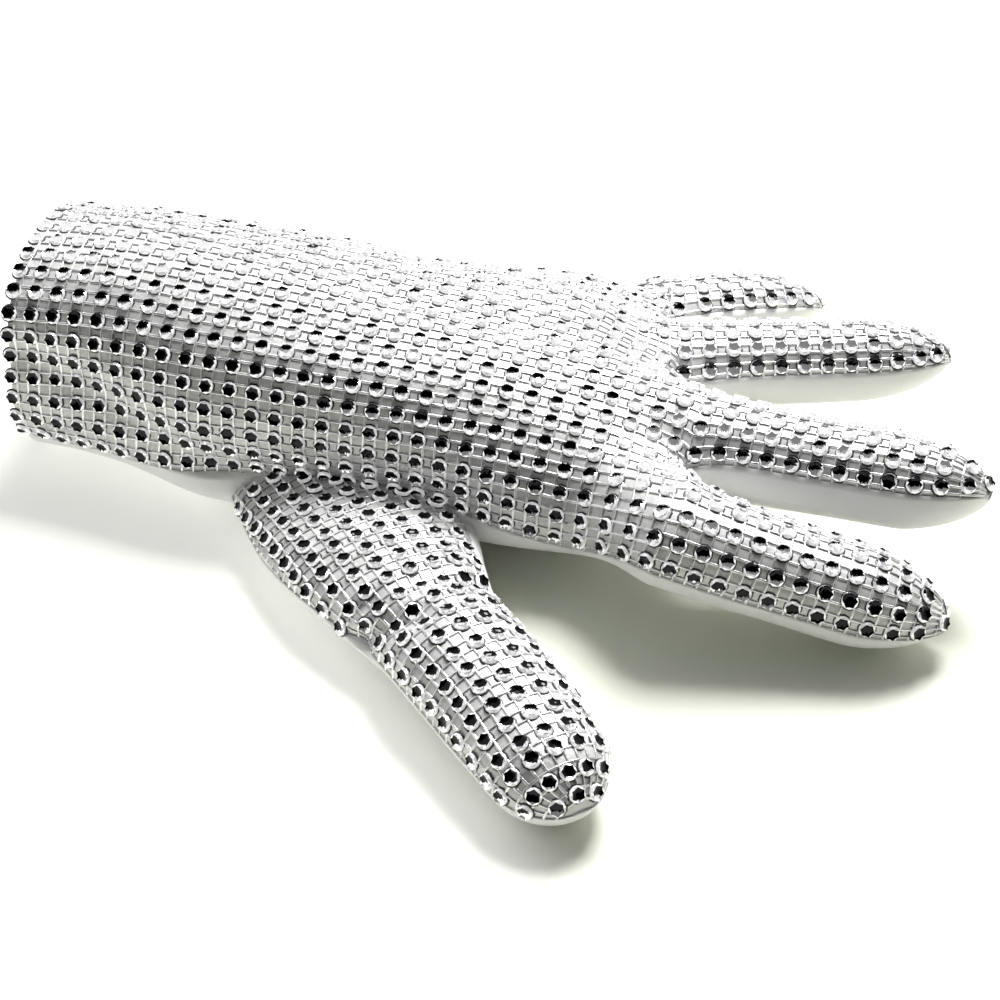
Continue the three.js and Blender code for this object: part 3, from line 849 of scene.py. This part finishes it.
def set_stones(name, points, normals, along, lighter, starred):
    """Stones in their cups as one mesh. The facets in the upper part of a dish are painted dark, as
    painted reflection.
    """
    frames = stone_frames(normals, along)
    size = STONE_RADIUS * rng.normal(1, STONE_SIZES, len(points))
    shape = np.einsum("pk,nkc->npc", STONE_POINTS, frames) * size[:, None, None]
    offset = len(STONE_POINTS) * np.arange(len(points))[:, None, None]
    obj = make(name, (points[:, None] + shape).reshape(-1, 3),
               (STONE_FACES[None] + offset).reshape(-1, 3), STONE, False)
    for material in (PAINTED_DARK_STAR, CUP_SHADE, CROWN):
        obj.data.materials.append(material)
    centres = STONE_POINTS[STONE_FACES].mean(1)[:, :2] / DISH_RADIUS
    lean = frames[:, 2] @ AWAY
    turned = 1 - 2 * smooth(lean, *FAR_LEAN)[:, None]
    rising = np.array([0, 0, DARK_UP]) + DARK_AWAY * turned * AWAY
    across = (frames[:, :2] * rising[:, None]).sum(2)
    height = unit(across) @ centres.T
    elevation = np.degrees(np.arcsin(np.clip(frames[:, 2, 2], -1, 1)))
    elevation = elevation + lighter + rng.normal(0, ELEVATION_SCATTER, len(points))
    edge = np.interp(elevation, DARK_ELEVATION, DARK_FROM)
    edge = edge - starred * (elevation < STAR_BELOW)
    facets = np.tile(STONE_FACETS, (len(points), 1))
    facets[(facets == PAINTED_DARK) & (height < edge[:, None])] = BRIGHT
    mixed = (elevation > DARK_CROWN[0]) & (elevation < DARK_CROWN[1]) & (lean < NEAR_LEAN)
    facets[(facets == CROWN_FACET) & (height > DARK_CROWN_FROM) & mixed[:, None]] = PAINTED_DARK
    facets[facets == WALL_FACET] = CROWN_FACET
    obj.data.polygons.foreach_set("material_index", facets.ravel().astype(np.int32))
    pieces[name] = obj


def spaced(points, least):
    """Leaves out places closer than least to an earlier one."""
    kept = []
    for k, p in enumerate(points):
        if not kept or np.min(((points[kept] - p) ** 2).sum(1)) > least * least:
            kept.append(k)
    return np.array(kept)


def place_stones(skin, name, s, tau):
    p, n, a = skin.sample(name, s, tau)
    return p + n * (NET_OUTER + STONE_LIFT), n, a


# Width that a stone takes in a ring round a fingertip, and the least distance between two stones
RING_SPACE = 3.6
LEAST_SPACE = 3.3
# Even columns of stones end this far from a finger's end, and a gap over LONG_GAP gets one more
TIP_CLEAR = 3.0
LONG_GAP = 7.0
# Degrees added to a stone's elevation, where less of the stones is painted dark: on the hand, on
# each finger, and at the fingertips. This is painted light: the fingers, where more light falls,
# get less of the painted dark, the ring and little finger most, and the fingertips get more.
# PATCHES is the height and length of a slow change over the hand.
HAND_LIGHTER = 3.0
HAND_FROM = (50.0, 110.0)
FINGER_LIGHTER = {"index": 8.0, "middle": 18.0, "ring": 32.0, "little": 32.0}
FINGER_FROM = (118.0, 145.0)
TIP_LIGHTER = -12.0
TIP_FROM = (-38.0, -16.0)
PATCHES = (7.0, 45.0)
# How much further the painted dark reflection reaches on steep stones by the cuff and at the
# fingertips
STARS = 0.7
CUFF_UP_TO = (45.0, 80.0)


def ring_places(name, s, rows):
    """Places of the stones in one ring across a strip, fewer where the ring is short."""
    p, _, _ = glove.sample(name, np.full(41, s), np.linspace(0, 1, 41))
    length = np.linalg.norm(np.diff(p, axis=0), axis=1).sum()
    count = max(1, min(rows, int(length / RING_SPACE)))
    return (np.arange(count) + 0.5) / count


def stone_columns(end):
    columns = np.arange(FIRST_STONE, end - TIP_CLEAR, GRID)
    if end - columns[-1] > LONG_GAP:
        columns = np.append(columns, (columns[-1] + end) / 2)
    return np.append(columns, end - LAST_STONE)


spots = []
for k, (f, finger_lighter) in enumerate(zip(fingers, FINGER_LIGHTER.values())):
    rows = f["last"] - f["first"]
    end = f["x"] + f["length"]
    for s in stone_columns(end):
        t = ring_places(f"{k} back", s, rows)
        lighter = HAND_LIGHTER * smooth(s, *HAND_FROM)
        lighter = lighter + (finger_lighter - lighter) * smooth(s, *FINGER_FROM)
        tip = smooth(s - end, *TIP_FROM)
        lighter = lighter + TIP_LIGHTER * tip
        patch = PATCHES[0] * waves(s, (f["first"] + rows * t) * GRID, 23, PATCHES[1])
        starred = np.full(len(t), STARS * (1 - smooth(s, *CUFF_UP_TO) + tip))
        place = place_stones(glove, f"{k} back", np.full(len(t), s), t)
        spots.append((*place, lighter + patch, starred))
spots = [np.concatenate(values) for values in zip(*spots)]
keep = spaced(spots[0], LEAST_SPACE)
set_stones("back_stones", *[values[keep] for values in spots])

# The thumb's own grid runs along it and keeps its spacing from the middle line outwards.
THUMB_FIRST = 0.9
THUMB_MIDDLE = 92.0
THUMB_SIDE_ROWS = 7
# Columns round the thumb's tip and cross threads there, as angles from the shaft to the tip
TIP_COLUMNS = (0.3, 0.72, 1.12, 1.42)
TIP_THREADS = np.linspace(0.12, 1.25, 6)
# Painted shade: thumb stones are painted darker than the hand's, where the hand shades the thumb,
# and still darker close to the hand's wall
THUMB_PAINTED_SHADE = -28.0
WALL_PAINTED_SHADE = -30.0
WALL_SHADE_FROM = (-14.0, -3.0)
THUMB_STARS = 0.2


def thumb_tau(s, offset):
    """tau at a distance across the thumb's net from its middle line."""
    angle = np.linspace(-math.pi / 2, math.pi / 2, 241)
    w, h = thumb[3](s), thumb[4](s)
    speed = np.hypot(w * np.cos(angle), h * np.sin(angle))
    arc = np.r_[0, np.cumsum((speed[1:] + speed[:-1]) / 2) * (angle[1] - angle[0])]
    arc = arc - np.interp(0.0, angle, arc)
    a = math.radians(THUMB_MIDDLE) - np.interp(offset, arc, angle, left=-9, right=9)
    start, end = math.radians(thumb[5](s)), math.radians(thumb[6](s))
    return (a - start) / (end - start)


def thumb_marks(first, spacing, tip):
    """Places along the thumb: evenly spaced up to its shaft's end, then round its tip."""
    return np.concatenate([np.arange(first, THUMB_SHAFT, spacing),
                           THUMB_SHAFT + THUMB_TIP[0] * np.sin(tip)])


spots = []
for s in thumb_marks(THUMB_FIRST, GRID, TIP_COLUMNS):
    for row in range(-THUMB_SIDE_ROWS, THUMB_SIDE_ROWS + 1):
        tau = float(thumb_tau(s, row * GRID))
        if 0.02 < tau < 0.98:
            spots.append((s, tau))
places = place_stones(digit, "back", *np.array(spots).T)
good = clear_of_hand(places[0])
places = [values[good] for values in places]
keep = spaced(places[0], LEAST_SPACE)
places = [values[keep] for values in places]
shaded = WALL_PAINTED_SHADE * smooth(hand_depth(places[0]), *WALL_SHADE_FROM)
set_stones("thumb_stones", *places, THUMB_PAINTED_SHADE + shaded, THUMB_STARS)


def lengthwise_thread(row):
    """Points and normals of one thread along the thumb, clear of the hand."""
    s = thumb_s[(thumb_s > 2) & (thumb_s < THUMB_LENGTH - 0.5)]
    tau = np.array([float(thumb_tau(v, row * CELL)) for v in s])
    on_net = (tau > 0.005) & (tau < 0.995)
    p, n, _ = digit.sample("back", s[on_net], tau[on_net])
    p = p + n * (NET_OUTER + THREAD_LIFT)
    good = clear_of_hand(p)
    return p[good], n[good]


SHORTEST_THREAD = 4
lines = [lengthwise_thread(row + 0.5) for row in range(-13, 13)]
lines = [line for line in lines if len(line[0]) >= SHORTEST_THREAD]
marks = thumb_marks(THUMB_FIRST + CELL / 2, CELL, TIP_THREADS)
lines += net_lines(digit, "back", marks, [], (0, THUMB_LENGTH - LAST_STONE), clear_of_hand)
pieces["thumb_threads"] = make("thumb_threads", *ribbons(lines), THREAD)

for obj in pieces.values():
    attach(obj, "root")

# Floor, camera and light
FLOOR_HALF = 3.0
# Towards this side the floor turns to a glowing white between these distances in metres. This
# glow is painted light, which washes out the glove's cast shadow on the floor there.
PAINTED_GLOW_SIDE = (-0.7071, -0.7071, 0)
PAINTED_GLOW_FROM = 0.027
PAINTED_GLOW_TO = 0.048


def floor_material():
    m = Nodes("white table with painted glow")
    m.set(Base_Color=(0.85, 0.87, 0.77, 1), Roughness=0.6, Specular_IOR_Level=0.2)
    m.set(Emission_Color=(1, 1, 1, 1))
    place = m.add("ShaderNodeTexCoord")
    # The emission below is painted light on the floor, which hides the glove's cast shadow on that
    # side
    toward = m.add("ShaderNodeVectorMath", operation="DOT_PRODUCT")
    toward.inputs[1].default_value = PAINTED_GLOW_SIDE
    painted_glow = m.add("ShaderNodeMapRange", interpolation_type="SMOOTHSTEP", in_To_Max=0.42,
                 in_From_Min=PAINTED_GLOW_FROM, in_From_Max=PAINTED_GLOW_TO)
    m.link(place, "Object", toward, 0)
    m.link(toward, "Value", painted_glow, "Value")
    m.link(painted_glow, "Result", m.shader, "Emission Strength")
    return m.material


corners = [(x * FLOOR_HALF, y * FLOOR_HALF, 0) for x, y in ((-1, -1), (1, -1), (1, 1), (-1, 1))]
floor_mesh = bpy.data.meshes.new("floor")
floor_mesh.from_pydata(corners, [], [(0, 1, 2, 3)])
floor_mesh.materials.append(floor_material())
floor = bpy.data.objects.new("floor", floor_mesh)
bpy.context.scene.collection.objects.link(floor)

turn = math.radians(CAMERA["turn"])
right = Vector((math.cos(turn), math.sin(turn), 0))
away = Vector((-math.sin(turn), math.cos(turn), 0))


def set_camera():
    """A camera of the photo's place and lens. CAMERA's picture is 1000 pixels wide."""
    down = math.radians(CAMERA["down"])
    spot = right * CAMERA["side"] - away * CAMERA["back"] + Vector((0, 0, CAMERA["height"]))
    spot = (spot - Vector(CENTRE)) / 1000
    forward = away * math.cos(down) - Vector((0, 0, math.sin(down)))
    upward = right.cross(forward)
    data = bpy.data.cameras.new("camera")
    data.sensor_width = 36
    data.lens = CAMERA["focal"] / 1000 * data.sensor_width
    data.shift_y = CAMERA["rise"] / 1000
    data.clip_start = 0.01
    camera = bpy.data.objects.new("camera", data)
    camera.matrix_world = Matrix((
        (right.x, upward.x, -forward.x, spot.x),
        (right.y, upward.y, -forward.y, spot.y),
        (right.z, upward.z, -forward.z, spot.z),
        (0, 0, 0, 1),
    ))
    bpy.context.scene.collection.objects.link(camera)
    bpy.context.scene.camera = camera


# A white surround with one dark round patch on the near side, which darkens what mirrors it.
# Angles in degrees: the patch's height, its dark core's radius and its soft edge's radius
PATCH_HEIGHT = 22.0
PATCH_CORE = 66.0
PATCH_EDGE = 80.0
PATCH_COLOUR = (0.012, 0.013, 0.012, 1)


def set_surround():
    world = bpy.data.worlds.new("studio")
    bpy.context.scene.world = world
    world.use_nodes = True
    tree = world.node_tree
    background = tree.nodes["Background"]
    place = tree.nodes.new("ShaderNodeTexCoord")
    toward = tree.nodes.new("ShaderNodeVectorMath")
    toward.operation = "DOT_PRODUCT"
    low = math.radians(PATCH_HEIGHT)
    toward.inputs[1].default_value = tuple(-away * math.cos(low) + Vector((0, 0, math.sin(low))))
    ramp = tree.nodes.new("ShaderNodeValToRGB")
    white, dark = ramp.color_ramp.elements
    white.position = math.cos(math.radians(PATCH_EDGE))
    white.color = (1, 1, 1, 1)
    dark.position = math.cos(math.radians(PATCH_CORE))
    dark.color = PATCH_COLOUR
    tree.links.new(place.outputs["Generated"], toward.inputs[0])
    tree.links.new(toward.outputs["Value"], ramp.inputs["Fac"])
    tree.links.new(ramp.outputs["Color"], background.inputs["Color"])
    background.inputs["Strength"].default_value = 0.76


def area_light(name, place, target, size, watts):
    data = bpy.data.lights.new(name, "AREA")
    data.shape = "RECTANGLE"
    data.size, data.size_y = size
    data.energy = watts
    light = bpy.data.objects.new(name, data)
    light.location = place
    light.rotation_euler = (Vector(target) - Vector(place)).to_track_quat("-Z", "Y").to_euler()
    bpy.context.scene.collection.objects.link(light)


set_camera()
set_surround()
area_light("key", (0.08, 0.46, 0.78), (0, 0, 0), (0.36, 0.36), 12.0)
bpy.context.scene.view_settings.view_transform = "Standard"
